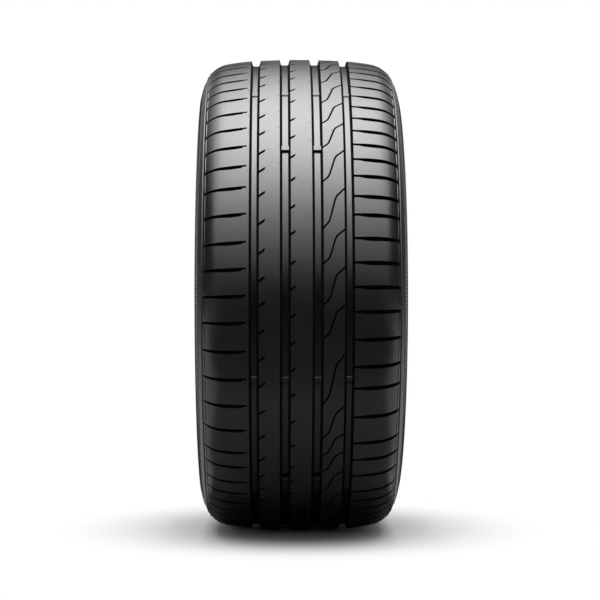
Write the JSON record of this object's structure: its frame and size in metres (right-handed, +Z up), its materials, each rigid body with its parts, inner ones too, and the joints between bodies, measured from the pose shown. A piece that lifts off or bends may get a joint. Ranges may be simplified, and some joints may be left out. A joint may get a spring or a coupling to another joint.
{
  "type": "car tyre",
  "caption": "Low-profile car tyre with main grooves round the tread, slotted shoulders, curved sipes and bead seats for a rim.",
  "frame": {"origin": "centre of the wheel: on the axis, midway between the two beads", "axes": "+Y along the wheel's axis towards the shoulder whose slots open into a groove, +Z up, the tread seen in the picture faces +X"},
  "size_m": [0.675, 0.2784, 0.6752],
  "materials": {
    "tread_rubber": "new moulded black rubber, satin"
  },
  "bodies": {
    "root": {"tyre": "tread_rubber"}
  },
  "joints": []
}
